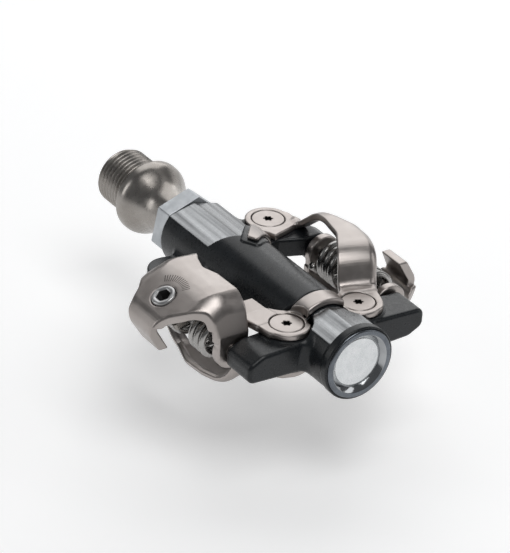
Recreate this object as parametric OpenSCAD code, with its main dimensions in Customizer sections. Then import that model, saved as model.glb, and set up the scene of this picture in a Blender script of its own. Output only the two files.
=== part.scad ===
// Double-sided clipless pedal, right-hand, in millimetres.
// +X runs outward along the spindle, +Y is forward, +Z is up. The origin is on the spindle
// axis at the shoulder that meets the crank arm. Body and bindings look the same after half
// a turn about the spindle, so each binding is modelled once and turned over for the far side.

/* [Spindle] */
// Outer radius of the pedal thread, 9/16 inch
thread_r = 7.144; // [7:0.001:7.3]
// Length of the thread that enters the crank arm
thread_len = 12; // [10:0.5:14]
// Pitch of the pedal thread, 20 turns to the inch
thread_pitch = 1.27; // [1.25:0.01:1.3]
// Largest radius of the bell next to the crank arm
bell_r = 9.25; // [9:0.05:9.6]
// Distance from the shoulder to the lock collar
collar_x = 14.5; // [14:0.1:15]
// Width across the flats of the lock collar
collar_af = 15.2; // [14.6:0.1:15.4]
// Width across the flats of the spindle's hex socket
socket_af = 8; // [6:1:8]

/* [Body] */
// Radius of the barrel that carries the bearings
barrel_r = 8.8; // [8.6:0.05:9]
// Inner end of the barrel
barrel_x0 = 19.3; // [19:0.1:19.6]
// Outer end of the barrel
barrel_x1 = 86.6; // [86:0.1:87]
// Radius of the barrel's bore
bore_r = 6.6; // [6.5:0.05:6.7]
// Height of the crest between the two machined flats
flat_z = 7.55; // [7.4:0.05:7.7]
// Slope of the machined flats in degrees
flat_slope = 15.5; // [12:0.5:18]

/* [Binding] */
// Distance of the hinge pins from the spindle axis
pin_y = 21.4; // [21:0.1:22]
// Radius of the hinge pins
pin_r = 1.6; // [1.5:0.1:1.7]
// Height of the cleat plate's upper face
plate_z = 5.5; // [5.3:0.1:5.7]
// Thickness of the cleat plate
plate_t = 1.6; // [1.4:0.1:1.8]
// Height of the top of the hoop
hoop_z = 13; // [12.5:0.1:13.5]
// Thickness of the sprung claw
claw_t = 2.1; // [1.9:0.1:2.3]
// Middle of the claws, measured from the crank shoulder
claw_x = 55; // [54.5:0.1:55.5]
// Radius of the plate bolts' flat heads
head_r = 3.88; // [3.7:0.02:4]

/* [Springs] */
// Radius of the spring wire
wire_r = 1; // [0.9:0.05:1.05]
// Mean radius of the spring coils
coil_r = 4.2; // [4:0.1:4.3]
// Turns in each spring
coil_turns = 4; // [3:1:4]

/* [Hidden] */
$fn = 64;

steel = "#8f8a86";
champagne = "#b4a9a3";
black = "#202124";
silver = "#b9bbbd";
eps = 0.01;

// Spindle stations
neck_r = 5.6;
journal_r = 4.7;
shaft_r = 3.62;
stud_r = 3;
cone_x = 29.8;
nut_x = 71.35;
stud_end = 79.4;

// Bearings
ball_r = 1.19;
ball_pitch_r = 4.87;
ball_count = 12;
inner_ball_x = 31;
outer_ball_x = 70.1;
cup_clear = 0.03;

// Outline of the inner flats, and the radius of the pad under the plate's tongue
flat_outline = [[10, -15], [30.9, -15], [39.4, -0.2], [35.2, 3.6], [32, 11], [10, 15]];
pad_r = 9.2;

// Plate bolts, on the binding that faces up
bolts = [[30.9, 13.33], [72.03, 9.76], [72.03, -9.76]];
ear_r = 5.5;
boss_r = 5.4;
boss_z = plate_z - plate_t;

// Hinge arms
inner_arm_x = [35.6, 40.6];
outer_arm_x = [69.2, 78.6];
inner_arm_r = 3.6;
pin_x = [36, 77.2];

// Sprung claw: outer outline seen along X, from the lip round the back to the tip
claw_slope = 26;
lip = [-17.4, 12.5];
lip_bend = [-23.7, 12.9];
tail_bend = [-38.4, 12.9 - (38.4 - 23.7) * tan(claw_slope)];
tail_tip = [-33.85, -2.1];
leg_x = [claw_x - 13.9, claw_x + 13.9];
screw_y = -31;
screw_z = lip_bend.y + (screw_y - lip_bend.x) * tan(claw_slope);

// A corner of a path rounded by an arc of radius r
function unit(v) = v / norm(v);
function corner(a, b, c, r, n = 6) =
    let (u = unit(a - b), w = unit(c - b), half = acos(u * w) / 2,
         mid = b + unit(u + w) * r / sin(half),
         p = b + u * r / tan(half), q = b + w * r / tan(half),
         a0 = atan2(p.y - mid.y, p.x - mid.x), a1 = atan2(q.y - mid.y, q.x - mid.x),
         turn = (a1 - a0 + 540) % 360 - 180)
    [for (i = [0:n]) mid + r * [cos(a0 + turn * i / n), sin(a0 + turn * i / n)]];
function soft_path(pts, r) = [for (i = [0:len(pts) - 1]) each
    (i == 0 || i == len(pts) - 1 || r[i] <= 0) ? [pts[i]]
        : corner(pts[i - 1], pts[i], pts[i + 1], r[i])];
function closed_path(pts, r) = [for (i = [0:len(pts) - 1]) each
    r[i] <= 0 ? [pts[i]]
        : corner(pts[(i + len(pts) - 1) % len(pts)], pts[i], pts[(i + 1) % len(pts)], r[i])];
// The path moved sideways by d, to its right
function left_of(v) = [-v.y, v.x];
function shifted(pts, d) = [for (i = [0:len(pts) - 1])
    let (u = i > 0 ? unit(pts[i] - pts[i - 1]) : unit(pts[1] - pts[0]),
         w = i < len(pts) - 1 ? unit(pts[i + 1] - pts[i]) : u,
         n = unit(left_of(u) + left_of(w)))
    pts[i] - n * d / (n * left_of(u))];
function backwards(list) = [for (i = [len(list) - 1:-1:0]) list[i]];
function strip(pts, r, d) = concat(soft_path(pts, r),
    backwards(soft_path(shifted(pts, d), [for (k = r) k > 0 ? max(k - abs(d), 0.4) : 0])));

// Frames: a round part about the spindle axis, a prism along X from a Y-Z outline,
// and a prism along Y from an X-Z outline
module turned(profile) rotate([0, 90, 0]) rotate([0, 0, 90])
    rotate_extrude($fn = 96) polygon([for (p = profile) [p.y, p.x]]);
module rod(x0, x1, r, y = 0, z = 0) translate([x0, y, z]) rotate([0, 90, 0]) cylinder(r = r, h = x1 - x0);
module along_x(x0, x1) translate([x0, 0, 0]) rotate([90, 0, 90]) linear_extrude(x1 - x0) children();
module along_y(y0, y1) translate([0, y1, 0]) rotate([90, 0, 0]) linear_extrude(y1 - y0) children();
module turned_over() rotate([180, 0, 0]) children();
module bar(p, q, r) {
    translate(p) circle(r);
    translate(q) circle(r);
    translate(p) rotate(atan2(q.y - p.y, q.x - p.x)) translate([0, -r]) square([norm(q - p), 2 * r]);
}

// ---- Spindle and bearings
module spindle() color(steel) difference() {
    turned(concat(
        [[-thread_len, 0], [-thread_len, thread_r - 0.9]],
        [for (i = [0:8]) each let (x = -thread_len + 0.9 + i * thread_pitch)
            [[x, thread_r], [x + 0.3, thread_r], [x + 0.75, thread_r - 0.72], [x + 0.82, thread_r - 0.72]]],
        [[-0.1, thread_r - 0.72], [-0.1, thread_r], [0, thread_r],
         [0, bell_r - 0.5], [0.25, bell_r - 0.1], [0.7, bell_r], [1.6, bell_r],
         [2.6, bell_r - 0.25], [3.8, bell_r - 0.9], [5.2, bell_r - 1.8], [6.8, bell_r - 2.65],
         [8.6, bell_r - 3.25], [10.6, bell_r - 3.5], [12.6, neck_r + 0.05], [collar_x - 0.3, neck_r],
         [collar_x - 0.3, journal_r], [cone_x, journal_r], [cone_x, shaft_r],
         [nut_x, shaft_r], [nut_x, stud_r], [stud_end - 0.4, stud_r],
         [stud_end, stud_r - 0.4], [stud_end, 0]]));
    translate([-thread_len - eps, 0, 0]) rotate([0, 90, 0])
        cylinder(r = socket_af / sqrt(3), h = 7, $fn = 6);
    translate([-thread_len - eps, 0, 0]) rotate([0, 90, 0])
        cylinder(r1 = socket_af / sqrt(3) + 0.35, r2 = socket_af / sqrt(3) - 0.3, h = 0.65);
}

module lock_collar() color(silver) difference() {
    union() {
        translate([collar_x, 0, 0]) rotate([50, 0, 0]) rotate([0, 90, 0])
            cylinder(r = collar_af / sqrt(3), h = barrel_x0 - collar_x, $fn = 6);
        rod(barrel_x0 - eps, 27, bore_r);
    }
    rod(collar_x - 1, 28, journal_r + 0.06);
    rod(collar_x - 1, 17.2, bore_r - 0.5);
}

module collar_seal() color(black) difference() {
    rod(collar_x + 0.35, 17.2, bore_r - 0.5);
    rod(collar_x, 18, journal_r + 0.03);
}

module cup(x0) difference() {
    rod(x0, x0 + 4.4, bore_r);
    rod(x0 - 1, x0 + 6, ball_pitch_r + ball_r + cup_clear);
}
module inner_cup() color(silver) cup(28.8);
module outer_cup() color(silver) cup(67.9);

module balls(x) for (i = [0:ball_count - 1]) rotate([i * 360 / ball_count, 0, 0])
    translate([x, 0, ball_pitch_r]) sphere(ball_r, $fn = 24);
module inner_balls() color(silver) balls(inner_ball_x);
module outer_balls() color(silver) balls(outer_ball_x);

module bearing_sleeve() color("#d8d4c8") difference() {
    rod(34, 67, bore_r);
    rod(33, 68, shaft_r + 0.04);
}

module cone_nut() color(steel) difference() {
    translate([nut_x, 0, 0]) rotate([0, 90, 0]) cylinder(r = 5.4, h = 3.4, $fn = 6);
    rod(nut_x - 1, nut_x + 5, stud_r);
}
module lock_nut() color(steel) difference() {
    translate([nut_x + 3.6, 0, 0]) rotate([30, 0, 0]) rotate([0, 90, 0]) cylinder(r = 5.4, h = 3, $fn = 6);
    rod(nut_x + 3, nut_x + 8, stud_r);
}

// ---- Body
// Material above two flats that meet in a crest over the spindle axis
module above_flats(x0, x1) along_x(x0, x1)
    polygon([[0, flat_z], [-10, flat_z - 10 * tan(flat_slope)], [-10, 12], [10, 12],
             [10, flat_z - 10 * tan(flat_slope)]]);

module inner_flats() intersection() {
    above_flats(barrel_x0 - 1, 42);
    linear_extrude(20) polygon(flat_outline);
}

// Outline of the plate's tongue, and of the pad on the barrel that it lies on
tongue = [[32, 11], [36.6, 4.2], [42, -0.4], [44.6, 0.8], [41.6, 4.6], [38, 10.5]];
tongue_pad = [[32, 11], [35.2, 3.6], [41.6, -1.9], [46.1, 0.2], [43, 5.2], [38.5, 8]];

module hinge_arms() {
    // inner arm: boss under the plate's ear, web and the fork end that holds the hinge pin
    translate([0, 0, 1]) linear_extrude(boss_z - 1) {
        bar([30.9, 6], bolts[0], 4.8);
        translate(bolts[0]) circle(boss_r);
    }
    translate([0, 0, -1]) linear_extrude(boss_z + 1)
        polygon([[33, 7], [32.6, 17.4], [inner_arm_x[0], 22], [inner_arm_x[1], 22],
            [inner_arm_x[1], 17.5], [38.4, 11.5], [38, 7]]);
    rod(inner_arm_x[0], inner_arm_x[1], inner_arm_r, pin_y);
    // outer arm
    translate([0, 0, -boss_z]) linear_extrude(2 * boss_z) translate(bolts[1]) circle(boss_r);
    along_x(outer_arm_x[0], outer_arm_x[1]) polygon(closed_path(
        [[8, -boss_z], [8, boss_z], [23.7, 3.2], [23.7, -1.2], [20, -3.2]], [0, 0, 1.8, 2, 3]));
}

module plate_pockets() {
    translate([0, 0, boss_z]) linear_extrude(9) {
        for (b = bolts) translate(b) circle(ear_r + 0.35);
    }
    // annular groove half for the plate's saddle
    intersection() {
        difference() {
            rod(68, 74, barrel_r + 3);
            rod(67, 75, 7.5);
        }
        translate([60, -20, 0]) cube([20, 40, 20]);
    }
}

module plate_bolt_holes() for (b = bolts) translate([b.x, b.y, 0.5]) cylinder(r = 2, h = 8, $fn = 32);

module pedal_body() color(black) difference() {
    union() {
        rod(barrel_x0, 84.6, barrel_r);
        rod(84.3, barrel_x1, 9);
        for (flip = [0, 180]) rotate([flip, 0, 0]) {
            hinge_arms();
            intersection() {
                rod(30, 50, pad_r);
                linear_extrude(20) polygon(closed_path(tongue_pad, [0, 0, 1.2, 1.2, 0, 0]));
            }
        }
    }
    for (flip = [0, 180]) rotate([flip, 0, 0]) {
        inner_flats();
        above_flats(73.6, 84.3);
        plate_pockets();
        plate_bolt_holes();
    }
    rod(barrel_x0 - 1, 90, bore_r);
    rod(84.9, 90, 8.5);
    for (side = [-1, 1]) rod(30, pin_x[1], pin_r, side * pin_y);
}

module end_cap() color(silver) turned([[81, 0], [81, 5], [81.4, 5], [81.4, bore_r - 0.02],
    [84.9, bore_r - 0.02], [84.9, 8.48], [86.6, 8.48], [86.95, 8.2], [86.95, 7.15], [85.95, 6.1],
    [85.6, 6.02], [85.6, 5.85], [85.75, 5.75], [85.75, 0]]);

// ---- Binding that faces up
// Outline of the hoop seen from above
hoop_outline = closed_path(
    [[33.2, 20.4], [34.6, 18.4], [42, 17.4], [48, 17.2], [54.6, 15.8], [61.4, 11.4], [65, 9.6],
     [67.5, 9.2], [69.4, 16.9], [64, 20], [58, 22.2], [52.5, 22.7], [46, 20.4]],
    [0, 0, 8, 8, 5, 5, 1, 0, 2, 6, 5, 6, 5]);
// Its left leg folds along Y. Its right leg folds along a line turned by hoop_turn about hoop_pivot.
hoop_left = [[30, plate_z], [36.2, plate_z], [45.2, hoop_z], [56, hoop_z]];
hoop_right = [[-12, hoop_z], [7.6, hoop_z], [11.3, plate_z], [18, plate_z]];
hoop_bends = [0, 3, 3.6, 0];
hoop_turn = -17.5;
hoop_pivot = [55, 15, 0];
guide_side = [[60, plate_z + 0.7], [65, plate_z], [70, plate_z]];

module cleat_plate() difference() {
    union() {
        // ears, all in one flat plane
        translate([0, 0, plate_z - plate_t]) linear_extrude(plate_t) {
            for (b = bolts) translate(b) circle(ear_r);
            polygon([[30.9, 18.8], [34.6, 19.6], [36.2, 17.4], [38.4, 10.4], [33, 8.2]]);
            polygon([[66, 9.4], [68.4, 7.6], [72, 7.6], [76, 13], [69.6, 16.8], [68.4, 16.8]]);
            polygon([[64.6, -9.4], [68, -7.8], [72, -7.8], [73.4, -15], [67, -16.9], [64.6, -16.3]]);
        }
        // guide that rises from the ear beside the claw
        intersection() {
            along_y(-17, -9.4) polygon(strip(guide_side, [0, 1.9, 0], plate_t));
            linear_extrude(20) polygon([[70, -9], [70, -16.3], [67, -16.9], [60.2, -14.8], [60.2, -11]]);
        }
        // hoop
        intersection() {
            along_y(8, 25) polygon(strip(hoop_left, hoop_bends, plate_t));
            linear_extrude(20) polygon(hoop_outline);
        }
        intersection() {
            translate(hoop_pivot) rotate([0, 0, hoop_turn]) along_y(-14, 14)
                polygon(strip(hoop_right, hoop_bends, plate_t));
            linear_extrude(20) polygon(hoop_outline);
            translate([hoop_pivot.x, 0, 0]) cube(25);
        }
        // saddle across the barrel
        difference() {
            intersection() {
                rod(68.4, 73.2, 9.2);
                translate([60, -20, plate_z - plate_t]) cube([20, 40, 20]);
            }
            for (b = [bolts[1], bolts[2]]) translate([b.x, b.y, plate_z]) cylinder(r = 4.9, h = 9);
        }
        // tongue that lies over the barrel
        intersection() {
            rod(30, 50, pad_r + 0.9);
            translate([0, 0, plate_z - plate_t]) linear_extrude(20)
                polygon(closed_path(tongue, [0, 0, 0.9, 0.9, 0, 0]));
        }
    }
    for (b = bolts) translate([b.x, b.y, plate_z - plate_t - 1]) cylinder(r = 2.1, h = 4, $fn = 32);
    for (b = bolts) translate([b.x, b.y, plate_z - 1]) cylinder(r = head_r + 0.12, h = 4);
    // undersides of the saddle and the tongue
    rod(60, 80, 7.6);
    rod(20, 59, pad_r + 0.03);
}
module top_cleat_plate() color(champagne) cleat_plate();
module bottom_cleat_plate() color(champagne) turned_over() cleat_plate();

module plate_bolts() for (b = bolts) translate([b.x, b.y, 0]) difference() {
    union() {
        translate([0, 0, 0.7]) cylinder(r = 2, h = plate_z - 1.7 + eps, $fn = 32);
        translate([0, 0, plate_z - 1]) cylinder(r = head_r, h = 0.98);
    }
    for (i = [0:2]) rotate([0, 0, 60 * i]) translate([-1.1, -0.28, plate_z - 0.9]) cube([2.2, 0.56, 2]);
    translate([0, 0, plate_z - 0.9]) cylinder(r = 0.78, h = 2, $fn = 24);
}
module top_plate_bolts() color(champagne) plate_bolts();
module bottom_plate_bolts() color(champagne) turned_over() plate_bolts();

// Sprung claw: a pressed hat-shaped shell, its front and underside open
claw_back = [[-8, 12.3], lip, lip_bend, tail_bend, tail_tip, tail_tip + 8 * unit(tail_tip - tail_bend)];
claw_back_r = [0, 6, 6, 4, 0, 0];
claw_hat = [[leg_x[0], -10], [leg_x[0], 4], [claw_x - 10.4, 15], [claw_x + 10.4, 15],
    [leg_x[1], 4], [leg_x[1], -10]];

module claw_solid(back, hat) intersection() {
    along_x(30, 80) polygon(concat(back, [[0, -20], [0, 12]]));
    along_y(-45, 5) polygon(hat);
}

module claw() difference() {
    intersection() {
        difference() {
            claw_solid(soft_path(claw_back, claw_back_r), claw_hat);
            claw_solid(soft_path(shifted(claw_back, -claw_t), [0, 6, 6, 2, 0, 0]),
                [[leg_x[0] + claw_t, -11], [leg_x[0] + claw_t, 4], [claw_x - 8.2, 15],
                 [claw_x + 8.2, 15], [leg_x[1] - claw_t, 4], [leg_x[1] - claw_t, -11]]);
        }
        // outline seen from above
        translate([0, 0, -20]) linear_extrude(40) polygon(closed_path(
            [[40, -17.2], [45.8, -16.6], [48.4, -18], [52.2, -19.2], [56, -17.8], [62.5, -17.6], [70, -17.4],
             [70, -23.6], [66, -27.2], [63.2, -31], [60.8, -33.5], [59.4, -36.3], [58.4, -40], [50, -40],
             [48.9, -35.8], [47.1, -32.8], [44.6, -30.6], [43.4, -27.4], [40, -25.4]],
            [0, 0.8, 0.8, 2, 2, 0, 0, 0, 3, 3, 2, 2, 0, 0, 2, 2, 1, 1, 0]));
        // outline seen from the side: the legs end round the hinge pin
        along_x(30, 80) {
            translate([-45, 2.5]) square([35, 20]);
            translate([-pin_y, 0]) circle(4.4);
            translate([-pin_y - 4.1, 0]) square([8.2, 4]);
            translate([-45, tail_tip.y]) square([16, 12]);
        }
    }
    // the tail tapers to its tip
    along_y(-45, -26) polygon([[40, 4.5], [49.2, 4.5], [52, -4.2], [52, -12], [40, -12]]);
    along_y(-45, -26) polygon([[70, 5.5], [58.4, 4.5], [58.4, -12], [70, -12]]);
    rod(30, 80, pin_r + 0.05, -pin_y);
    at_screw() cylinder(r = 3, h = 10, center = true);
}
module at_screw() translate([claw_x - 0.5, screw_y, screw_z]) rotate([claw_slope, 0, 0]) children();
module top_claw() color(champagne) claw();
module bottom_claw() color(champagne) turned_over() claw();

module hinge_pin() difference() {
    rod(pin_x[0], pin_x[1] - 0.1, pin_r, -pin_y);
    rod(pin_x[0] - 1, pin_x[0] + 1, 0.9, -pin_y);
}
module top_hinge_pin() color(steel) hinge_pin();
module bottom_hinge_pin() color(steel) turned_over() hinge_pin();

// Springs: a wound coil as separate rings joined by the straight legs
module spring(x0, pitch) {
    for (i = [0:coil_turns - 1]) translate([x0 + i * pitch, -pin_y, 0]) rotate([0, 90, 0])
        rotate_extrude($fn = 48) translate([coil_r, 0]) circle(wire_r, $fn = 16);
    translate([min(x0, x0 + (coil_turns - 1) * pitch), -pin_y, coil_r]) rotate([0, 90, 0])
        cylinder(r = wire_r * 0.8, h = abs((coil_turns - 1) * pitch), $fn = 16);
}
module inner_spring() spring(45.4, 2.1);
module outer_spring() spring(63.6, -2.1);
module top_inner_spring() color(silver) inner_spring();
module top_outer_spring() color(silver) outer_spring();
module bottom_inner_spring() color(silver) turned_over() inner_spring();
module bottom_outer_spring() color(silver) turned_over() outer_spring();

module tension_screw() at_screw() difference() {
    union() {
        translate([0, 0, -2.3]) cylinder(r = 2.85, h = 2.6);
        translate([0, 0, -3.3]) cylinder(r = 3.8, h = 1.1);
        translate([0, 0, -7.4]) cylinder(r = 1.6, h = 5, $fn = 32);
    }
    translate([0, 0, -1]) cylinder(r = 1.73, h = 4, $fn = 6);
}
module top_tension_screw() color(silver) tension_screw();
module bottom_tension_screw() color(silver) turned_over() tension_screw();

module tension_nut() at_screw() difference() {
    translate([-5, -2.4, -6.4]) cube([10, 4.8, 1.8]);
    translate([0, 0, -7]) cylinder(r = 1.64, h = 6, $fn = 32);
}
module top_tension_nut() color(steel) tension_nut();
module bottom_tension_nut() color(steel) turned_over() tension_nut();

spindle();
lock_collar();
collar_seal();
inner_cup();
inner_balls();
bearing_sleeve();
outer_cup();
outer_balls();
cone_nut();
lock_nut();
pedal_body();
end_cap();
top_cleat_plate();
bottom_cleat_plate();
top_plate_bolts();
bottom_plate_bolts();
top_claw();
bottom_claw();
top_hinge_pin();
bottom_hinge_pin();
top_inner_spring();
top_outer_spring();
bottom_inner_spring();
bottom_outer_spring();
top_tension_screw();
bottom_tension_screw();
top_tension_nut();
bottom_tension_nut();
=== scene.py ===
"""Looks of a double-sided clipless pedal. Shapes are signed distances in millimetres, in the
frame's axes: +X outward along the spindle, +Y forward, +Z up. A piece of the binding that
faces down is the same mesh as the one that faces up, given half a turn about the spindle."""

import math

import bpy
import numpy as np
from mathutils import Matrix, Vector


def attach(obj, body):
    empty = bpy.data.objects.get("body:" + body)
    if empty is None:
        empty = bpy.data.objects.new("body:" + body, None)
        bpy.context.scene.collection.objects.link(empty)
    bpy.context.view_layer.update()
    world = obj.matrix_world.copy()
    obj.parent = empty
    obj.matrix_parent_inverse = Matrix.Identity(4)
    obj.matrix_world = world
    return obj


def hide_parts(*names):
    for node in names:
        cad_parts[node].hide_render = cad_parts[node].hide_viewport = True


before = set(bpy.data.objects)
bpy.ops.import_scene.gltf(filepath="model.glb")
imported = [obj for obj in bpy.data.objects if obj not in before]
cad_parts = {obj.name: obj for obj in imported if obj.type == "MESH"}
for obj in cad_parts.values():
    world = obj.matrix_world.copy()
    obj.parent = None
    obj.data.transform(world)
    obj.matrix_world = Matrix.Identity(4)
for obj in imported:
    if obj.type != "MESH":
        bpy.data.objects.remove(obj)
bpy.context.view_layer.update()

MM = 0.001

# Barrel
BARREL_R = 8.8
BARREL_X = (19.3, 84.6)
END_RING_R = 9.0
END_RING_X = (84.3, 86.6)
BORE_R = 6.6
CAP_SEAT_R = 8.5
CAP_SEAT_X = 84.9

# The machined flats: height of their crest, their slope, where they lie and how far they reach
FLAT_Z = 7.55
FLAT_SLOPE = math.radians(15.5)
OUTER_FLAT_X = (73.6, 84.3)
OUTER_FLAT_Y = 10
FLAT_PLAN = [[10, -15], [30.9, -15], [39.4, -0.2], [35.2, 3.6], [32, 11], [10, 15]]

# Hinge arms and their bosses
PIN_Y = 21.4
PIN_R = 1.6
PIN_BORE_X = (30, 77.2)
BOSS_R = 5.4
BOSS_Z = 3.9
BOSS_NECK_R = 4.8
INNER_ARM_X = (35.6, 40.6)
INNER_ARM_R = 3.6
OUTER_ARM_X = (69.2, 78.6)

# Pad, saddle and tongue, which lie round the barrel
PAD_R = 9.2
TONGUE_R = (9.23, 10.1)
SADDLE_R = (7.6, 9.2)
SADDLE_X = (68.4, 73.2)
SADDLE_ROOM_R = 4.9
GROOVE_R = (7.5, 11.8)
GROOVE_X = (68, 74)

# Cleat plate and its bolts
PLATE_Z = 5.5
PLATE_T = 1.6
PLATE_UNDER = PLATE_Z - PLATE_T
HOOP_Z = 13.0
BOLTS = [(30.9, 13.33), (72.03, 9.76), (72.03, -9.76)]
EAR_R = 5.5
EAR_ROOM = 0.35
HEAD_R = 3.88
HEAD_T = 1.0
HEAD_ROOM = 0.12
SHANK_R = 2.0
BOLT_FOOT_Z = 0.7
BOLT_HOLE_R = 2.1
LOBES = 6
LOBE_MEAN_R = 0.98
LOBE_HEIGHT = 0.17
SOCKET_FLOOR_Z = PLATE_Z - 0.9

# Faces of a bolt or a tension screw that lie this far in and below are inside its socket; they are
# painted near-black as the socket's shade
BOLT_SOCKET_SHADE = (1.3, PLATE_Z - 0.2)
SCREW_SOCKET_SHADE = (1.8, 0.1)

# Sprung claw
CLAW_X = 55.0
CLAW_T = 2.1
CLAW_SHOULDER = 4.2
CLAW_SLOPE = math.radians(26)
# How much the claw's back bows, in mm per mm squared from its lip bend
CLAW_BOW = 0.002
LEG_TOP_Z = 2.5
LEG_END_R = 4.4
LEG_HALF_Y = 4.1
TAIL_Y = -29
TAIL_CUT_Y = -26
LIP = (-17.4, 12.5)
LIP_BEND = (-23.7, 12.9)
TAIL_BEND = (-38.4, 12.9 - 14.7 * math.tan(CLAW_SLOPE))
TAIL_TIP = (-33.85, -2.1)
SCREW_Y = -31.0
SCREW_HOLE_R = 3
SCREW = (CLAW_X - 0.5, SCREW_Y, LIP_BEND[1] + (SCREW_Y - LIP_BEND[0]) * math.tan(CLAW_SLOPE))

# Nut plate, in the tension screw's axes
NUT_X = 5
NUT_Y = 2.4
NUT_Z = (-6.4, -4.6)
NUT_BORE_R = 1.64

# Springs: wire and coil, and for each coil the X it starts at and the way it winds on
WIRE_R = 0.86
COIL_R = 4.2
COIL_PITCH = 2.1
COILS = {"inner_spring": (45.4, 1), "outer_spring": (63.6, -1)}

# Edge of a drilled hole
HOLE_EDGE = 0.1

# Low and high corner of the box that a piece is looked for in, and the size of its mesh cells
BODY_GRID = ((19.3, -24, -9.2), (86.6, 24, 9.2), 0.24)
PLATE_GRID = ((25.4, -17, 3.9), (77.6, 23, HOOP_Z), 0.18)
BOLT_GRID = ((-HEAD_R, -HEAD_R, BOLT_FOOT_Z), (HEAD_R, HEAD_R, PLATE_Z), 0.1)
CLAW_GRID = ((41.1, -37.2, -4.5), (68.9, -16.4, 12.9), 0.16)
NUT_GRID = ((-NUT_X, -NUT_Y, NUT_Z[0]), (NUT_X, NUT_Y, NUT_Z[1]), 0.15)


# ---- Outlines
def unit(v):
    return v / np.linalg.norm(v)


def corner(a, b, c, r, steps=12):
    """The arc of radius r that rounds the corner at b, between a and c."""
    u, w = unit(a - b), unit(c - b)
    half = math.acos(float(u @ w)) / 2
    middle = b + unit(u + w) * r / math.sin(half)
    start, end = b + u * r / math.tan(half) - middle, b + w * r / math.tan(half) - middle
    first = math.atan2(start[1], start[0])
    turn = (math.atan2(end[1], end[0]) - first + 3 * math.pi) % (2 * math.pi) - math.pi
    angles = first + turn * np.arange(steps + 1) / steps
    return [middle + r * np.array([math.cos(t), math.sin(t)]) for t in angles]


def rounded(points, radii):
    """A closed outline with each corner rounded to its radius."""
    pts = [np.array(p, float) for p in points]
    out = []
    for i, r in enumerate(radii):
        out += corner(pts[i - 1], pts[i], pts[(i + 1) % len(pts)], r) if r > 0 else [pts[i]]
    return out


# ---- Signed distances in millimetres, negative inside. The last number given to both, either
# and less is the radius of the edge or fillet that they leave.
def polygon(u, v, outline):
    """Distance to a closed outline in the u-v plane."""
    pts = np.array(outline, np.float32)
    best, inside = np.float32(1e9), np.zeros((1,) * np.ndim(u), bool)
    for a, b in zip(pts, np.roll(pts, -1, axis=0)):
        edge = b - a
        du, dv = u - a[0], v - a[1]
        t = np.clip((du * edge[0] + dv * edge[1]) / (edge @ edge), 0, 1)
        best = np.minimum(best, (du - t * edge[0]) ** 2 + (dv - t * edge[1]) ** 2)
        if edge[1] != 0:
            spans = (a[1] > v) != (b[1] > v)
            inside = inside ^ (spans & (du < edge[0] * dv / edge[1]))
    return np.where(inside, -1, 1) * np.sqrt(best)


def slab(t, low, high):
    return np.abs(t - (low + high) / 2) - (high - low) / 2


def both(a, b, r=0.0):
    """Where a and b overlap, the edge between them rounded to radius r."""
    if r == 0:
        return np.maximum(a, b)
    u, v = np.maximum(a + r, 0), np.maximum(b + r, 0)
    return np.minimum(np.maximum(a, b), -r) + np.hypot(u, v)


def either(a, b, r=0.0):
    """a and b together, the corner between them filled to radius r."""
    return -both(-a, -b, r)


def less(a, b, r=0.0):
    """a without b, the edge of the cut rounded to radius r."""
    return both(a, -b, r)


def circle(u, v, centre, r):
    return np.hypot(u - centre[0], v - centre[1]) - r


def capsule(u, v, p, q, r):
    """Distance to the straight line from p to q, less r."""
    eu, ev = q[0] - p[0], q[1] - p[1]
    t = np.clip(((u - p[0]) * eu + (v - p[1]) * ev) / (eu * eu + ev * ev), 0, 1)
    return np.hypot(u - p[0] - t * eu, v - p[1] - t * ev) - r


def rod(x, y, z, x0, x1, r, edge=0.0, at=(0, 0)):
    """A round bar along X."""
    return both(circle(y, z, at, r), slab(x, x0, x1), edge)


# ---- Meshes
def surface(field, low, high, step):
    """Vertices and quads of field's zero surface: one vertex in each cell that the surface
    crosses, then moved onto the surface."""
    axes = [np.arange(a - 2 * step, b + 2 * step, step, dtype=np.float32) for a, b in zip(low, high)]
    values = field(*np.ix_(*axes)).astype(np.float32)
    hits, rings = [], []
    for axis in range(3):
        near = values[tuple(slice(0, -1) if k == axis else slice(1, -1) for k in range(3))]
        far = values[tuple(slice(1, None) if k == axis else slice(1, -1) for k in range(3))]
        at = np.argwhere((near < 0) != (far < 0))
        v0, v1 = near[tuple(at.T)], far[tuple(at.T)]
        edge = at + [0 if k == axis else 1 for k in range(3)]
        hit = edge.astype(float)
        hit[:, axis] += v0 / (v0 - v1)
        ring = []
        for du, dw in ((-1, -1), (0, -1), (0, 0), (-1, 0)):
            cell = edge.copy()
            cell[:, (axis + 1) % 3] += du
            cell[:, (axis + 2) % 3] += dw
            ring.append(np.ravel_multi_index(cell.T, values.shape))
        ring = np.stack(ring, 1)
        ring[v0 >= 0] = ring[v0 >= 0][:, ::-1]
        rings.append(ring)
        hits.append(np.repeat(hit, 4, axis=0))
    rings, hits = np.concatenate(rings), np.concatenate(hits)
    _, index = np.unique(rings.ravel(), return_inverse=True)
    share = np.bincount(index)
    points = np.stack([np.bincount(index, hits[:, k]) / share for k in range(3)], 1)
    points = np.array([a[0] for a in axes]) + points * step
    return onto(field, points, step), index.reshape(-1, 4)


def onto(field, points, step, rounds=3, probe=0.02):
    """The points moved onto field's zero surface, each by no more than half a step a round."""
    for _ in range(rounds):
        value = field(*points.T)
        slope = np.stack([(field(*(points + d).T) - field(*(points - d).T)) / (2 * probe)
                          for d in np.eye(3) * probe], 1)
        move = slope * (value / np.maximum((slope ** 2).sum(1), 0.3))[:, None]
        length = np.linalg.norm(move, axis=1)[:, None]
        points = points - move * np.minimum(1, 0.5 * step / np.maximum(length, 1e-9))
    return points


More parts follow.
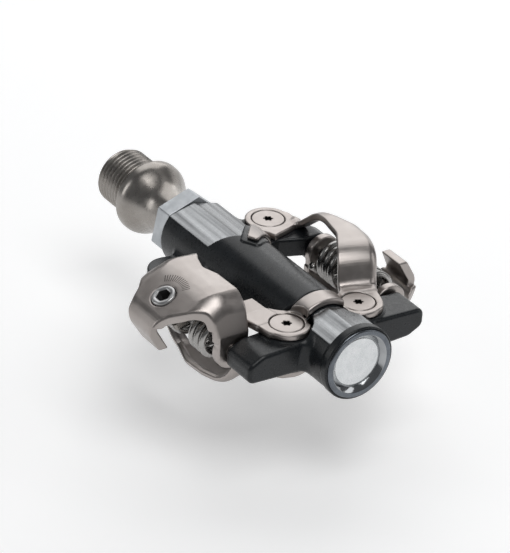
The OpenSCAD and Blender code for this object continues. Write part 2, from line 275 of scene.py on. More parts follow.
def mesh_object(name, points, faces):
    mesh = bpy.data.meshes.new(name)
    mesh.from_pydata((np.asarray(points) * MM).tolist(), [], [list(map(int, f)) for f in faces])
    mesh.validate()
    mesh.shade_smooth()
    made = bpy.data.objects.new(name, mesh)
    bpy.context.scene.collection.objects.link(made)
    return made


def joined(parts):
    """One list of points and one of faces from several."""
    points, faces, offset = [], [], 0
    for p, f in parts:
        points.append(np.asarray(p))
        faces += [[i + offset for i in face] for face in f]
        offset += len(p)
    return np.concatenate(points), faces


def shell_of_rings(rings):
    """Points and faces of a closed skin through rings of equal length, a fan at each end."""
    count = len(rings[0])
    points = [p for ring in rings for p in ring]
    faces = []
    for i in range(len(rings) - 1):
        for k in range(count):
            m = (k + 1) % count
            faces.append([i * count + k, i * count + m, (i + 1) * count + m, (i + 1) * count + k])
    for ring, start, way in ((rings[0], 0, -1), (rings[-1], (len(rings) - 1) * count, 1)):
        points.append(np.mean(ring, axis=0))
        for k in range(count):
            faces.append([start + k, start + (k + 1) % count, len(points) - 1][::way])
    return np.array(points), faces


def circle_ring(x, radius, sides=96):
    """A ring round the X axis. radius is a number or a function of the angle."""
    angles = 2 * np.pi * np.arange(sides) / sides
    r = np.array([radius(t) for t in angles]) if callable(radius) else np.full(sides, radius)
    return np.stack([np.full(sides, x), r * np.cos(angles), r * np.sin(angles)], 1)


def hexagon(across_flats):
    """Radius of a hexagonal hole as a function of the angle."""
    return lambda t: across_flats / 2 / math.cos((t + math.pi / 6) % (math.pi / 3) - math.pi / 6)


def thread_radius(x, angle, major, pitch, depth, x0, x1):
    """Radius of a right-hand screw thread that fades out at x0 and x1."""
    phase = (x / pitch - angle / (2 * math.pi)) % 1
    ridge = min(1.0, max(0.0, 2.7 * (0.5 - abs(phase - 0.5)) - 0.12))
    fade = min(1.0, max(0.0, (x - x0) / 0.8), max(0.0, (x1 - x) / 0.8))
    return major - depth * (1 - ridge * fade)


def softened(line, rounds=3):
    """An open line with its corners cut again and again, its ends kept."""
    pts = [np.array(p, float) for p in line]
    for _ in range(rounds):
        inner = [q for a, b in zip(pts, pts[1:]) for q in (0.75 * a + 0.25 * b, 0.25 * a + 0.75 * b)]
        pts = [pts[0]] + inner[1:-1] + [pts[-1]]
    return pts


def tube(line, radius, sides=14):
    """Points and faces of a round wire along a line of points."""
    line = np.array(line, float)
    ways = np.gradient(line, axis=0)
    ways /= np.linalg.norm(ways, axis=1)[:, None]
    side = unit(np.cross(ways[0], [0.3, 0.5, 0.8]))
    rings = []
    for point, way in zip(line, ways):
        side = unit(side - way * (side @ way))
        other = np.cross(way, side)
        angles = 2 * np.pi * np.arange(sides) / sides
        rings.append([point + radius * (math.cos(t) * side + math.sin(t) * other) for t in angles])
    return shell_of_rings(rings)


# ---- Pedal body
WEB = [[33, 7], [32.6, 17.4], [35.6, 22], [40.6, 22], [40.6, 17.5], [38.4, 11.5], [38, 7]]
TONGUE_PAD = rounded([[32, 11], [35.2, 3.6], [41.6, -1.9], [46.1, 0.2], [43, 5.2], [38.5, 8]],
                     [0, 0, 1.2, 1.2, 0, 0])
OUTER_ARM = rounded([[6, -3.9], [6, 3.9], [23.7, 3.2], [23.7, -1.2], [20, -3.2]], [0, 0, 1.8, 2, 3])


def arms(x, y, z):
    """Bosses and hinge arms of one half."""
    neck = capsule(x, y, (BOLTS[0][0], 6), BOLTS[0], BOSS_NECK_R)
    boss_plan = either(circle(x, y, BOLTS[0], BOSS_R), neck, 1)
    boss = both(boss_plan, slab(z, 0.6, BOSS_Z), 0.5)
    web = both(polygon(x, y, WEB), slab(z, -1, BOSS_Z), 0.7)
    fork = rod(x, y, z, *INNER_ARM_X, INNER_ARM_R, 0.5, (PIN_Y, 0))
    outer_boss = both(circle(x, y, BOLTS[1], BOSS_R), slab(z, -BOSS_Z, BOSS_Z), 0.4)
    outer = both(polygon(y, z, OUTER_ARM), slab(x, *OUTER_ARM_X), 0.9)
    return np.minimum(either(either(boss, web, 1), fork, 0.8), either(outer_boss, outer, 1.2))


def roof(y, z):
    """Height above the two machined flats that meet in a crest."""
    return math.cos(FLAT_SLOPE) * (z - FLAT_Z) + math.sin(FLAT_SLOPE) * np.abs(y)


def half_cuts(x, y, z):
    """Flats, ear pockets and the saddle's groove of one half."""
    inner = both(-roof(y, z), both(polygon(x, y, FLAT_PLAN), -z))
    outer = both(-roof(y, z), both(slab(x, *OUTER_FLAT_X), np.abs(y) - OUTER_FLAT_Y))
    ears = np.float32(1e9)
    for bolt in BOLTS:
        ears = np.minimum(ears, circle(x, y, bolt, EAR_R + EAR_ROOM))
    groove = both(slab(x, *GROOVE_X), both(slab(np.hypot(y, z), *GROOVE_R), -z))
    flats = np.minimum(inner, outer)
    return np.minimum(np.minimum(flats, both(ears, BOSS_Z - z)), groove)


def pedal_body(x, y, z):
    core = rod(x, y, z, *BARREL_X, BARREL_R, 0.3)
    core = np.minimum(core, rod(x, y, z, *END_RING_X, END_RING_R, 0.4))
    for way in (1, -1):
        core = either(core, arms(x, way * y, way * z), 2)
        pad_plan = both(polygon(x, way * y, TONGUE_PAD), -way * z)
        pad = both(np.hypot(y, z) - PAD_R, pad_plan, 0.35)
        core = np.minimum(core, pad)
    for way in (1, -1):
        core = less(core, half_cuts(x, way * y, way * z), 0.12)
    core = less(core, rod(x, y, z, 18, 90, BORE_R), 0.15)
    core = less(core, rod(x, y, z, CAP_SEAT_X, 90, CAP_SEAT_R), HOLE_EDGE)
    for side in (-1, 1):
        pin_bore = rod(x, y, z, *PIN_BORE_X, PIN_R, at=(side * PIN_Y, 0))
        core = less(core, pin_bore, HOLE_EDGE)
    return core


# ---- Cleat plate
TONGUE = rounded([[32, 11], [36.6, 4.2], [42, -0.4], [44.6, 0.8], [41.6, 4.6], [38, 10.5]],
                 [0, 0, 0.9, 0.9, 0, 0])
HOOP_PLAN = rounded(
    [[33.2, 20.4], [34.6, 18.4], [42, 17.4], [48, 17.2], [54.6, 15.8], [61.4, 11.4], [65, 9.6],
     [67.5, 9.2], [69.4, 16.9], [64, 20], [58, 22.2], [52.5, 22.7], [46, 20.4]],
    [0, 0, 8, 8, 5, 5, 1, 0, 2, 6, 5, 6, 5])
# Sides of the hoop's two flights; the right one is turned about HOOP_PIVOT
HOOP_LEFT = rounded(
    [[20, PLATE_Z], [35.6, PLATE_Z], [44.4, HOOP_Z], [90, HOOP_Z], [90, -20], [20, -20]],
    [0, 4, 9, 0, 0, 0])
HOOP_RIGHT = rounded(
    [[-60, HOOP_Z], [7.6, HOOP_Z], [11.3, PLATE_Z], [60, PLATE_Z], [60, -20], [-60, -20]],
    [0, 7, 3, 0, 0, 0])
HOOP_TURN = math.radians(-17.5)
HOOP_PIVOT = (55, 15)
# How much the hoop is crowned, in mm per mm squared from HOOP_PIVOT
HOOP_CROWN = 0.008
# The hoop's far edge turns down as far as HOOP_WALL_Z
HOOP_RIM = rounded(
    [[20, 20.4], [34, 20.4], [46, 20.6], [52.5, 22.7], [58, 22.2], [64, 20], [69.4, 16.9],
     [80, 16.9], [80, -20], [20, -20]],
    [0, 0, 6, 5, 6, 5, 2, 0, 0, 0])
HOOP_RIM_BEND = 2.2
HOOP_WALL_Z = 10.9
# Both hoop outlines are grown by this much
HOOP_RIM_GROWTH = 0.5
HOOP_PLAN_GROWTH = 0.3
EAR_WEBS = [
    [[30.9, 18.8], [34.6, 19.6], [36.2, 17.4], [38.4, 10.4], [33, 8.2]],
    [[66, 9.4], [68.4, 7.6], [72, 7.6], [76, 13], [69.6, 16.8], [68.4, 16.8]],
    [[64.6, -9.4], [68, -7.8], [72, -7.8], [73.4, -15], [67, -16.9], [64.6, -16.3]]]
GUIDE_SIDE = rounded([[60, PLATE_Z + 0.7], [65, PLATE_Z], [70, PLATE_Z], [70, PLATE_UNDER],
                      [65, PLATE_UNDER], [60, PLATE_UNDER + 0.7]], [0, 3, 0, 0, 3, 0])
GUIDE_PLAN = [[70, -9], [70, -16.3], [67, -16.9], [60.2, -14.8], [60.2, -11]]


def hoop(x, y, z):
    """The raised bow over the barrel's far side: a crowned sheet whose far edge turns down."""
    along = (x - HOOP_PIVOT[0]) * math.cos(HOOP_TURN) + (y - HOOP_PIVOT[1]) * math.sin(HOOP_TURN)
    crowned = z + HOOP_CROWN * np.square(y - HOOP_PIVOT[1])
    dome = both(polygon(x, crowned, HOOP_LEFT), polygon(along, crowned, HOOP_RIGHT))
    rim = both(dome, polygon(x, y, HOOP_RIM) - HOOP_RIM_GROWTH, HOOP_RIM_BEND)
    kept = np.minimum(-(dome + PLATE_T), HOOP_WALL_Z - z)
    sheet = both(both(rim, -(rim + PLATE_T)), both(kept, PLATE_UNDER - z), 0.2)
    return both(sheet, polygon(x, y, HOOP_PLAN) - HOOP_PLAN_GROWTH, 0.4)


def saddle(x, y, z):
    """The strap over the barrel that joins two ears, clear of their bolt heads."""
    strap = both(slab(np.hypot(y, z), *SADDLE_R), slab(x, *SADDLE_X), 0.5)
    strap = both(strap, PLATE_UNDER - z)
    for bolt in BOLTS[1:]:
        strap = less(strap, both(circle(x, y, bolt, SADDLE_ROOM_R), PLATE_Z - z), 0.3)
    return strap


def cleat_plate(x, y, z):
    plan = np.float32(1e9)
    for bolt, web in zip(BOLTS, EAR_WEBS):
        plan = np.minimum(plan, either(circle(x, y, bolt, EAR_R), polygon(x, y, web), 1.5))
    plate = both(plan, slab(z, PLATE_UNDER, PLATE_Z), 0.4)
    plate = either(plate, hoop(x, y, z), 1.2)
    plate = either(plate, saddle(x, y, z), 0.8)
    tongue = both(slab(np.hypot(y, z), *TONGUE_R), polygon(x, y, TONGUE), 0.35)
    plate = either(plate, both(tongue, PLATE_UNDER - z), 0.8)
    guide = both(polygon(x, z, GUIDE_SIDE), polygon(x, y, GUIDE_PLAN), 0.35)
    plate = either(plate, guide, 0.4)
    for bolt in BOLTS:
        plate = less(plate, circle(x, y, bolt, BOLT_HOLE_R), HOLE_EDGE)
        seat = both(circle(x, y, bolt, HEAD_R + HEAD_ROOM), PLATE_Z - HEAD_T - z)
        plate = less(plate, seat, 0.18)
    plate = less(plate, rod(x, y, z, 60, 80, SADDLE_R[0]), HOLE_EDGE)
    return less(plate, rod(x, y, z, 20, 59, TONGUE_R[0]), HOLE_EDGE)


def plate_bolt(x, y, z):
    """A flat-headed bolt on the Z axis with a six-lobed socket."""
    radius = np.hypot(x, y)
    head = both(radius - HEAD_R, slab(z, PLATE_Z - HEAD_T, PLATE_Z - 0.02), 0.28)
    shank = both(radius - SHANK_R, slab(z, BOLT_FOOT_Z, SOCKET_FLOOR_Z), 0.2)
    lobes = radius - LOBE_MEAN_R - LOBE_HEIGHT * np.cos(LOBES * np.arctan2(y, x))
    return less(np.minimum(head, shank), both(lobes, SOCKET_FLOOR_Z - z), 0.12)


# ---- Sprung claw
CLAW_BACK = rounded(
    [[-8, 12.3], LIP, LIP_BEND, TAIL_BEND, TAIL_TIP, [-30.65, -7.6], [0, -20], [0, 12]],
    [0, 6, 6, 4, 0, 0, 0, 0])
CLAW_HAT = [[41.1, -10], [41.1, 4], [44.6, 15], [65.4, 15], [68.9, 4], [68.9, -10]]
CLAW_PLAN = rounded(
    [[38, -17.2], [45.8, -16.6], [48.4, -18], [52.2, -19.2], [56, -17.8], [62.5, -17.6], [72, -17.4],
     [72, -23.6], [66, -27.2], [63.2, -31], [60.8, -33.5], [59.4, -36.3], [58.4, -42], [50, -42],
     [48.9, -35.8], [47.1, -32.8], [44.6, -30.6], [43.4, -27.4], [38, -25.4]],
    [0, 0.8, 0.8, 2, 2, 0, 0, 0, 3, 3, 2, 2, 0, 0, 2, 2, 1, 1, 0])
TAIL_CUTS = [[[38, 4.5], [49.2, 4.5], [52, -4.2], [52, -12], [38, -12]],
             [[72, 5.5], [58.4, 4.5], [58.4, -12], [72, -12]]]


def claw_side(y, z):
    """The claw from the side: its back, the ends of its legs round the hinge pin and its tail."""
    legs = both(slab(y, -PIN_Y - LEG_HALF_Y, -PIN_Y + LEG_HALF_Y), slab(z, 0, 4))
    leg_ends = circle(y, z, (-PIN_Y, 0), LEG_END_R)
    tail = both(y - TAIL_Y, TAIL_TIP[1] - z)
    return np.minimum(np.minimum(LEG_TOP_Z - z, leg_ends), np.minimum(legs, tail))


def sprung_claw(x, y, z):
    bowed = z + CLAW_BOW * np.square(y - LIP_BEND[0])
    outside = both(polygon(y, bowed, CLAW_BACK), polygon(x, z, CLAW_HAT), CLAW_SHOULDER)
    claw = both(outside, -(outside + CLAW_T), 0.2)
    claw = both(claw, polygon(x, y, CLAW_PLAN), 0.45)
    claw = both(claw, claw_side(y, z), 0.4)
    for cut in TAIL_CUTS:
        claw = less(claw, both(polygon(x, z, cut), y - TAIL_CUT_Y), 0.4)
    claw = less(claw, circle(y, z, (-PIN_Y, 0), PIN_R + 0.05), HOLE_EDGE)
    across = (y - SCREW[1]) * math.cos(CLAW_SLOPE) + (z - SCREW[2]) * math.sin(CLAW_SLOPE)
    return less(claw, np.hypot(x - SCREW[0], across) - SCREW_HOLE_R, 0.3)


def tension_nut(x, y, z):
    """The nut plate, with Z along the tension screw."""
    block = both(slab(x, -NUT_X, NUT_X), slab(y, -NUT_Y, NUT_Y), 0.5)
    block = both(block, slab(z, *NUT_Z), 0.25)
    return less(block, np.hypot(x, y) - NUT_BORE_R, HOLE_EDGE)


# ---- Turned and wound pieces
def spindle_rings():
    """Spindle from the bottom of its hex socket, over the thread and the bell, to the stud."""
    thread_r = 7.144
    thread_x = -12.0
    pitch = 1.27
    depth = 0.72
    socket = 8.0
    socket_depth = 7
    rings = [circle_ring(thread_x + socket_depth, hexagon(socket)),
             circle_ring(thread_x + 0.6, hexagon(socket)),
             circle_ring(thread_x, socket / math.sqrt(3) + 0.35),
             circle_ring(thread_x, thread_r - 1), circle_ring(thread_x + 0.1, thread_r - 0.85)]
    for x in np.arange(thread_x + 0.2, -0.05, 0.07):
        limit = thread_r - 0.8 + (x - thread_x)
        rings.append(circle_ring(x, lambda t: min(limit, thread_radius(
            x, t, thread_r, pitch, depth, thread_x, 0.0))))
    bell = [(0, 8.4), (0.0, 9.2), (0.9, 9.25), (1.9, 9.2), (2.9, 8.9), (4.2, 8.15), (5.6, 7.3),
            (7.2, 6.45), (9, 5.95), (11, 5.75), (13, 5.65), (14.2, 5.6)]
    shaft = [(14.2, 4.7), (29.8, 4.7), (29.8, 3.62), (71.35, 3.62), (71.35, 3), (79, 3), (79.4, 2.6)]
    profile = [(0, 6.5)] + [tuple(p) for p in softened(bell)] + shaft
    return rings + [circle_ring(x, r) for x, r in profile]


def end_cap_rings():
    """End cap from its inner end to the turned disc, which is the last fan."""
    profile = [(81, 5), (81.2, 6.4), (81.4, 6.58), (84.8, 6.58), (84.9, 6.7), (84.9, 8.48),
               (86.5, 8.48), (86.62, 8.46), (86.8, 8.38), (86.9, 8.26), (86.95, 8.1), (86.95, 7.3),
               (86.93, 7.22), (86.86, 7.12), (86.0, 6.14), (85.9, 6.08), (85.62, 6.04), (85.58, 6.0),
               (85.58, 5.9), (85.62, 5.86), (85.7, 5.83), (85.74, 5.76), (85.75, 5.6)]
    disc = [(85.75, r) for r in np.arange(5.4, 0.05, -0.2)]
    return [circle_ring(x, r, 160) for x, r in profile + disc]


def screw_rings():
    """Tension screw along X, from the bottom of its hex socket over head and flange to its tip."""
    rings = [circle_ring(-2.8, hexagon(2.8)), circle_ring(0.12, hexagon(3)), circle_ring(0.3, 1.95),
             circle_ring(0.3, 2.5), circle_ring(0.22, 2.7), circle_ring(0, 2.82),
             circle_ring(-2.1, 2.85), circle_ring(-2.2, 3.7), circle_ring(-2.35, 3.8),
             circle_ring(-3.2, 3.8), circle_ring(-3.3, 3.7), circle_ring(-3.3, 1.7)]
    for x in np.arange(-3.35, -7.3, -0.06):
        rings.append(circle_ring(x, lambda t: thread_radius(x, t, 1.6, 0.7, 0.35, -7.4, -3.3)))
    return rings + [circle_ring(-7.4, 1.2)]


def spring_line(start, way):
    """Centreline of a torsion spring: a leg to the body, the coil and a leg under the claw."""
    angles = np.linspace(0.25 * np.pi, 6.5 * np.pi, 140)
    coil = [np.array([start + way * COIL_PITCH * (t - angles[0]) / (2 * np.pi),
                      -PIN_Y + COIL_R * math.cos(t), COIL_R * math.sin(t)]) for t in angles]
    first = coil[0] + np.array([0, 0.7, -0.7]) * 3.4
    last = coil[-1] + np.array([0, -5.4, -0.35])
    lead = [first + (coil[0] - first) * s for s in np.linspace(0, 0.96, 8)]
    tail = [coil[-1] + (last - coil[-1]) * s for s in np.linspace(0.05, 1, 10)]
    return lead + coil + tail


# ---- Materials
# Where the mix node has its two colours and their mixture
MIX_FIRST = 6
MIX_SECOND = 7
MIX_RESULT = 2


class Finish:
    """A node material with one Principled shader, and short ways to add detail to it."""

    def __init__(self, name, colour, roughness, metallic=1.0, **sockets):
        self.material = bpy.data.materials.new(name)
        self.material.use_nodes = True
        self.nodes = self.material.node_tree.nodes
        self.links = self.material.node_tree.links
        self.shader = self.nodes["Principled BSDF"]
        self.shader.inputs["Base Color"].default_value = (*colour, 1)
        self.shader.inputs["Roughness"].default_value = roughness
        self.shader.inputs["Metallic"].default_value = metallic
        for socket, value in sockets.items():
            self.shader.inputs[socket.replace("_", " ")].default_value = value
        self.place = self.nodes.new("ShaderNodeTexCoord").outputs["Object"]
        self.colour = None
        self.bump = None

    def maths(self, operation, a, b=0.0, c=0.0):
        node = self.nodes.new("ShaderNodeMath")
        node.operation = operation
        for socket, value in zip(node.inputs, (a, b, c)):
            if isinstance(value, bpy.types.NodeSocket):
                self.links.new(value, socket)
            else:
                socket.default_value = value
        return node.outputs[0]

    def noise(self, size, detail=4.0, stretch=(1, 1, 1)):
        """Noise from 0 to 1 whose blobs are about size millimetres across."""
        mapping = self.nodes.new("ShaderNodeMapping")
        mapping.inputs["Scale"].default_value = [1 / (size * MM * s) for s in stretch]
        self.links.new(self.place, mapping.inputs["Vector"])
        noise = self.nodes.new("ShaderNodeTexNoise")
        noise.inputs["Scale"].default_value = 1
        noise.inputs["Detail"].default_value = detail
        self.links.new(mapping.outputs[0], noise.inputs["Vector"])
        return noise.outputs["Fac"]

    def between(self, value, low, high):
        """value from 0.3 to 0.7 spread evenly from low to high."""
        node = self.nodes.new("ShaderNodeMapRange")
        node.inputs["From Min"].default_value = 0.3
        node.inputs["From Max"].default_value = 0.7
        node.inputs["To Min"].default_value = low
        node.inputs["To Max"].default_value = high
        self.links.new(value, node.inputs["Value"])
        return node.outputs[0]

    def vary_roughness(self, value, low, high):
        self.links.new(self.between(value, low, high), self.shader.inputs["Roughness"])

    def mix(self, mask, first, second):
        """first where mask is 0 and second where it is 1. Each is a colour or a node's output."""
        node = self.nodes.new("ShaderNodeMix")
        node.data_type = "RGBA"
        self.links.new(mask, node.inputs["Factor"])
        for index, colour in ((MIX_FIRST, first), (MIX_SECOND, second)):
            if isinstance(colour, bpy.types.NodeSocket):
                self.links.new(colour, node.inputs[index])
            else:
                node.inputs[index].default_value = (*colour, 1)
        return node.outputs[MIX_RESULT]

    def paint(self, mask, first, second):
        """Makes the mix of two colours the base colour."""
        self.colour = self.mix(mask, first, second)
        self.links.new(self.colour, self.shader.inputs["Base Color"])

    def emboss(self, height, depth):
        """Bumps depth millimetres deep where height goes from 0 to 1."""
        node = self.nodes.new("ShaderNodeBump")
        node.inputs["Distance"].default_value = depth * MM
        self.links.new(height, node.inputs["Height"])
        if self.bump is not None:
            self.links.new(self.bump, node.inputs["Normal"])
        self.bump = node.outputs["Normal"]
        self.links.new(self.bump, self.shader.inputs["Normal"])

    def axes(self):
        """Object X, Y and Z in millimetres."""
        node = self.nodes.new("ShaderNodeSeparateXYZ")
        self.links.new(self.place, node.inputs[0])
        return [self.maths("DIVIDE", out, MM) for out in node.outputs]

    def inside(self, value, low, high):
        """1 where value lies between low and high."""
        middle, half = (low + high) / 2, (high - low) / 2
        return self.maths("COMPARE", value, middle, half)

    def reach(self, a, b):
        """Distance from the origin of a and b."""
        squares = [self.maths("MULTIPLY", value, value) for value in (a, b)]
        return self.maths("SQRT", self.maths("ADD", *squares))

    def every(self, *masks):
        product = masks[0]
        for mask in masks[1:]:
            product = self.maths("MULTIPLY", product, mask)
        return product


def satin_nickel(name="satin_nickel", dial=False):
    """Pressed steel with warm satin plating; the claw also has a dial of fine ticks."""
    finish = Finish(name, (0.42, 0.385, 0.365), 0.34)
    cloud = finish.noise(6)
    grain = finish.noise(0.12, 3)
    finish.paint(finish.between(cloud, 0, 1), (0.35, 0.318, 0.3), (0.41, 0.378, 0.36))
    finish.vary_roughness(finish.noise(1.5), 0.28, 0.38)
    finish.emboss(grain, 0.002)
    if dial:
        x, y, z = finish.axes()
        across = finish.maths("SUBTRACT", x, SCREW[0])
        up = finish.maths("DIVIDE", finish.maths("SUBTRACT", y, SCREW[1]), math.cos(CLAW_SLOPE))
        radius = finish.reach(across, up)
        angle = finish.maths("ARCTAN2", up, across)
        spacing = math.radians(6)
        saw = finish.maths("FRACT", finish.maths("DIVIDE", angle, spacing))
        ticks = finish.every(finish.inside(saw, 0.36, 0.64), finish.inside(radius, 4.3, 6.2),
                             finish.inside(angle, math.radians(54), math.radians(144)),
                             finish.inside(z, 6, 20))
        finish.paint(ticks, finish.colour, (0.03, 0.027, 0.025))
        finish.emboss(finish.maths("SUBTRACT", 1, ticks), 0.03)
    return finish.material


def spindle_steel():
    finish = Finish("spindle_steel", (0.4, 0.375, 0.35), 0.36)
    lathe = finish.noise(0.25, 2, (1, 60, 60))
    finish.paint(finish.between(finish.noise(5), 0, 1), (0.27, 0.25, 0.23), (0.34, 0.32, 0.3))
    finish.vary_roughness(finish.noise(1.5), 0.24, 0.33)
    finish.emboss(lathe, 0.001)
    finish.emboss(finish.noise(0.3), 0.0015)
    return finish.material


def body_black():
    """Black anodised alloy, bare and brushed along X where the flats are machined."""
    finish = Finish("body_black", (0.02, 0.021, 0.023), 0.36, 0.0, Specular_IOR_Level=0.35)
    x, y, z = finish.axes()
    side, up = finish.maths("ABSOLUTE", y), finish.maths("ABSOLUTE", z)
    above = finish.maths("MULTIPLY_ADD", finish.maths("SUBTRACT", up, FLAT_Z), math.cos(FLAT_SLOPE),
                         finish.maths("MULTIPLY", side, math.sin(FLAT_SLOPE)))
    over = finish.maths("MULTIPLY", y, finish.maths("SIGN", z))
    end = finish.every(
        finish.maths("LESS_THAN", finish.maths("MULTIPLY_ADD", over, -0.574, x), 39.6),
        finish.maths("LESS_THAN", finish.maths("MULTIPLY_ADD", over, 1.1, x), 39.4))
    lengths = finish.maths("ADD", finish.every(finish.inside(x, BARREL_X[0] + 0.15, 42), end),
                           finish.inside(x, OUTER_FLAT_X[0] - 0.1, OUTER_FLAT_X[1] + 0.1))
    bare = finish.every(finish.inside(above, -0.06, 0.06), finish.inside(side, -1, 7), lengths)
    streaks = finish.noise(1.6, 3, (40, 1, 1))
    metal = finish.mix(finish.between(streaks, 0, 1), (0.1, 0.103, 0.107), (0.4, 0.41, 0.42))
    coat = finish.mix(finish.between(finish.noise(4), 0, 1),
                      (0.008, 0.0095, 0.011), (0.013, 0.0155, 0.018))
    finish.paint(bare, coat, metal)
    finish.links.new(bare, finish.shader.inputs["Metallic"])
    finish.vary_roughness(finish.noise(0.8), 0.24, 0.36)
    finish.emboss(finish.noise(0.2, 2), 0.0006)
    finish.emboss(finish.maths("MULTIPLY", finish.noise(0.12, 2, (60, 1, 1)), bare), 0.01)
    return finish.material


def plain_metal(name, dark, light, rough, grain=0.15, depth=0.004, stretch=(1, 1, 1)):
    """A metal whose colour wanders between two tones and whose polish varies."""
    finish = Finish(name, light, rough[0])
    finish.paint(finish.between(finish.noise(3), 0, 1), dark, light)
    finish.vary_roughness(finish.noise(0.9), *rough)
    finish.emboss(finish.noise(grain, 3, stretch), depth)
    return finish.material


def turned_disc():
    """Bright disc with the fine rings that a lathe leaves."""
    finish = Finish("turned_disc", (0.8, 0.8, 0.81), 0.24)
    _, y, z = finish.axes()
    ring_pitch = 0.6
    rings = finish.maths("SINE", finish.maths("MULTIPLY", finish.reach(y, z), 2 * math.pi / ring_pitch))
    finish.emboss(rings, 0.0008)
    finish.paint(finish.between(finish.noise(2), 0, 1), (0.6, 0.62, 0.63), (0.7, 0.71, 0.72))
    finish.vary_roughness(finish.noise(0.6), 0.2, 0.3)
    return finish.material


def plastic(name, dark, light, rough):
    finish = Finish(name, light, rough[0], 0.0)
    finish.paint(finish.between(finish.noise(2), 0, 1), dark, light)
    finish.vary_roughness(finish.noise(0.5), *rough)
    finish.emboss(finish.noise(0.08, 3), 0.006)
    return finish.material


FINISHES = {
    "nickel_plate": satin_nickel(),
    "claw_plate": satin_nickel("satin_nickel_dial", dial=True),
    "spindle_steel": spindle_steel(),
    "black_body": body_black(),
    "collar_alloy": plain_metal("collar_alloy", (0.42, 0.44, 0.46), (0.54, 0.56, 0.58),
                                (0.42, 0.55), 0.08, 0.008),
    "cap_alloy": plain_metal("cap_alloy", (0.12, 0.13, 0.145), (0.16, 0.175, 0.195),
                             (0.22, 0.32), 0.12, 0.002),
    "disc_alloy": turned_disc(),
    "bright_steel": plain_metal("bright_steel", (0.3, 0.295, 0.285), (0.4, 0.39, 0.38),
                                (0.2, 0.3), 0.5, 0.001),
    "screw_steel": plain_metal("screw_steel", (0.4, 0.4, 0.4), (0.5, 0.5, 0.5), (0.3, 0.42)),
    # Near-black painted shade for the insides of bolt and screw sockets
    "painted_socket_shade": plain_metal("painted_socket_shade", (0.02, 0.02, 0.02), (0.05, 0.05, 0.05), (0.4, 0.6)),
    "polished_alloy": plain_metal("polished_alloy", (0.3, 0.31, 0.32), (0.38, 0.39, 0.4), (0.08, 0.14)),
    "bearing_steel": plain_metal("bearing_steel", (0.55, 0.55, 0.55), (0.65, 0.65, 0.65), (0.1, 0.2)),
    "sleeve_resin": plastic("sleeve_resin", (0.5, 0.48, 0.42), (0.62, 0.6, 0.54), (0.4, 0.55)),
    "black_seal": plastic("black_seal", (0.012, 0.012, 0.012), (0.03, 0.03, 0.03), (0.5, 0.7)),
}


# ---- Pieces
def dress(made, finish, body):
    """Gives a piece its material, material slot and body."""
    made.data.materials.clear()
    made.data.materials.append(FINISHES[finish])
    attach(made, body)
    return made


def turned_over(made, name):
    """The same mesh after half a turn about the spindle."""
    other = bpy.data.objects.new(name, made.data)
    other.matrix_world = Matrix.Rotation(math.pi, 4, "X") @ made.matrix_world
    bpy.context.scene.collection.objects.link(other)
    return other


def pair(kind, points, faces, finish, bodies, slot=None, placed=None):
    """A binding piece and its copy on the underside, in place of the CAD nodes of that name."""
    top = mesh_object(f"top_{kind}_shape", points, faces)
    if placed is not None:
        top.matrix_world = placed
    bottom = turned_over(top, f"bottom_{kind}_shape")
    for made, body, side in ((top, bodies[0], "top"), (bottom, bodies[1], "bottom")):
        dress(made, finish, body)
        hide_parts(f"{side}_{kind}")
    return top


def single(name, points, faces, finish, body):
    made = dress(mesh_object(f"{name}_shape", points, faces), finish, body)
    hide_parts(name)
    return made


def build_body():
    single("pedal_body", *surface(pedal_body, *BODY_GRID), "black_body", "pedal")


def build_turned():
    single("spindle", *shell_of_rings(spindle_rings()), "spindle_steel", "axle")
    cap = single("end_cap", *shell_of_rings(end_cap_rings()), "cap_alloy", "pedal")
    cap.data.materials.append(FINISHES["disc_alloy"])
    cap.data.materials.append(FINISHES["polished_alloy"])
    for face in cap.data.polygons:
        middle = face.center / MM
        radius = math.hypot(middle.y, middle.z)
        if middle.x > 85 and radius < 7.25:
            face.material_index = 1 if radius < 5.9 else 2


def paint_socket_shade(mesh, axis, radius, top, centre):
    """Gives the faces inside a socket along an axis, below top, the mesh's second material, a
    near-black one that paints the socket's shade.
    """
    for face in mesh.polygons:
        along = getattr(face.center, axis) / MM
        across = [c / MM for c, name in zip(face.center, "xyz") if name != axis]
        if along < top and math.dist(across, centre) < radius:
            face.material_index = 1


def build_plates():
    pair("cleat_plate", *surface(cleat_plate, *PLATE_GRID), "nickel_plate", ("pedal", "pedal"))
    points, faces = surface(plate_bolt, *BOLT_GRID)
    three = joined([(points + [*bolt, 0], faces) for bolt in BOLTS])
    top = pair("plate_bolts", *three, "nickel_plate", ("pedal", "pedal"))
    # The bolts' sockets are painted dark as shade
    top.data.materials.append(FINISHES["painted_socket_shade"])
    for bolt in BOLTS:
        paint_socket_shade(top.data, "z", *BOLT_SOCKET_SHADE, bolt)


def build_claws():
    points, faces = surface(sprung_claw, *CLAW_GRID)
    pair("claw", points, faces, "claw_plate", ("top_jaw", "bottom_jaw"), "nickel_plate")


def build_springs():
    for kind, (start, way) in COILS.items():
        pair(kind, *tube(spring_line(start, way), WIRE_R), "bright_steel", ("pedal", "pedal"))


def build_screws():
    upright = Matrix.Translation([MM * c for c in SCREW]) @ Matrix.Rotation(CLAW_SLOPE, 4, "X")
    along_x = upright @ Matrix.Rotation(-math.pi / 2, 4, "Y")
    top = pair("tension_screw", *shell_of_rings(screw_rings()), "screw_steel",
               ("top_adjuster", "bottom_adjuster"), "bright_steel", along_x)
    # The screw's hex socket is painted dark as shade
    top.data.materials.append(FINISHES["painted_socket_shade"])
    paint_socket_shade(top.data, "x", *SCREW_SOCKET_SHADE, (0, 0))
    pair("tension_nut", *surface(tension_nut, *NUT_GRID), "spindle_steel",
         ("top_anchor", "bottom_anchor"), placed=upright)


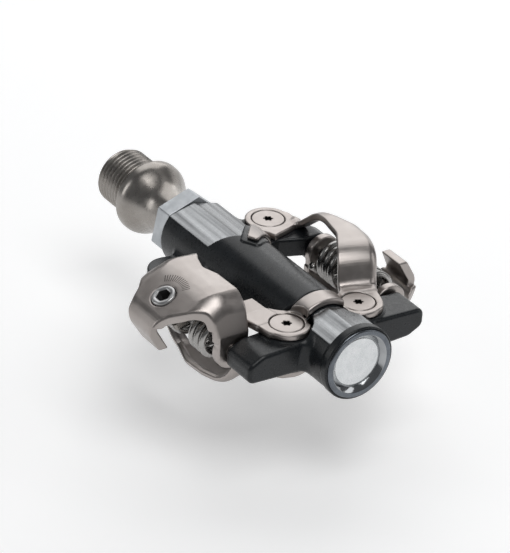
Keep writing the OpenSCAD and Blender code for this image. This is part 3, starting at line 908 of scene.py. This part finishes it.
CARRIED_OVER = {
    "lock_collar": "collar_alloy", "collar_seal": "black_seal", "inner_cup": "bearing_steel",
    "outer_cup": "bearing_steel", "inner_balls": "bearing_steel", "outer_balls": "bearing_steel",
    "bearing_sleeve": "sleeve_resin", "cone_nut": "spindle_steel", "lock_nut": "spindle_steel",
    "top_hinge_pin": "bright_steel", "bottom_hinge_pin": "bright_steel"}
BEVEL = 0.12
COLLAR_BEVEL = 0.25


def dress_carried_over():
    """CAD nodes that stay as they are get softened edges and a material."""
    for name, finish in CARRIED_OVER.items():
        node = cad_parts[name]
        node.data.materials.clear()
        node.data.materials.append(FINISHES[finish])
        weld = node.modifiers.new("weld", "WELD")
        weld.merge_threshold = 1e-6
        bevel = node.modifiers.new("bevel", "BEVEL")
        bevel.width = (COLLAR_BEVEL if name == "lock_collar" else BEVEL) * MM
        bevel.segments = 3
        bevel.limit_method = "ANGLE"
        bevel.angle_limit = math.radians(35)
        bevel.harden_normals = True


# ---- Stage
MIDDLE = (0.045, 0, 0)
FLOOR_HALF = 1.5
FLOOR_Z = -0.03
FLOOR_GLOW = 0.27
# Name, direction from the pedal, distance, width and height in metres, and radiance
SOFTBOXES = [
    ("key", (-0.62, 0.36, 0.7), 0.5, (0.5, 0.42), 1.5),
    ("back", (-0.6, 0.78, 0.26), 0.5, (0.4, 0.26), 0.95),
    ("top", (0.4, -0.08, 0.9), 0.45, (0.28, 0.28), 3.2),
    ("side", (0.5, 0.8, 0.35), 0.5, (0.14, 0.3), 1.6),
    ("front", (-0.5, -0.85, 0.35), 0.5, (0.12, 0.3), 2.4)]
CAMERA_AT = (0.534297, -0.356139, 0.351789)
CAMERA_LENS = 199.05


def softbox(name, direction, distance, size, radiance):
    """A rectangular light that faces the middle of the pedal from a direction."""
    light = bpy.data.lights.new(name, "AREA")
    light.shape = "RECTANGLE"
    light.size, light.size_y = size
    light.energy = radiance * math.pi * size[0] * size[1]
    made = bpy.data.objects.new(name, light)
    bpy.context.scene.collection.objects.link(made)
    way = Vector(direction).normalized()
    made.location = Vector(MIDDLE) + way * distance
    made.rotation_euler = (-way).to_track_quat("-Z", "Y").to_euler()


def build_floor():
    corners = [[FLOOR_HALF * u, FLOOR_HALF * v, FLOOR_Z]
               for u, v in ((-1, -1), (1, -1), (1, 1), (-1, 1))]
    floor = mesh_object("floor", np.array(corners) / MM, [[0, 1, 2, 3]])
    finish = Finish("floor_white", (0.93, 0.93, 0.93), 0.8, 0.0)
    finish.shader.inputs["Emission Color"].default_value = (1, 1, 1, 1)
    finish.shader.inputs["Emission Strength"].default_value = FLOOR_GLOW
    floor.data.materials.append(finish.material)


def build_stage():
    build_floor()
    for light in SOFTBOXES:
        softbox(*light)
    world = bpy.data.worlds.new("studio")
    world.use_nodes = True
    background = world.node_tree.nodes["Background"]
    background.inputs["Color"].default_value = (0.95, 0.97, 1, 1)
    background.inputs["Strength"].default_value = 0.16
    bpy.context.scene.world = world
    bpy.context.scene.view_settings.view_transform = "Standard"


def build_camera():
    camera = bpy.data.cameras.new("camera")
    camera.lens = CAMERA_LENS
    camera.sensor_width = 36
    camera.clip_start, camera.clip_end = 0.01, 10
    made = bpy.data.objects.new("camera", camera)
    right = (0.55946833, 0.82668329, 0.05991593)
    up = (-0.44534605, 0.23885187, 0.86291175)
    back = (0.69904369, -0.50945512, 0.50179019)
    turn = Matrix((right, up, back)).transposed().to_4x4()
    made.matrix_world = Matrix.Translation(CAMERA_AT) @ turn
    bpy.context.scene.collection.objects.link(made)
    bpy.context.scene.camera = made


build_body()
build_turned()
build_plates()
build_claws()
build_springs()
build_screws()
dress_carried_over()
build_stage()
build_camera()
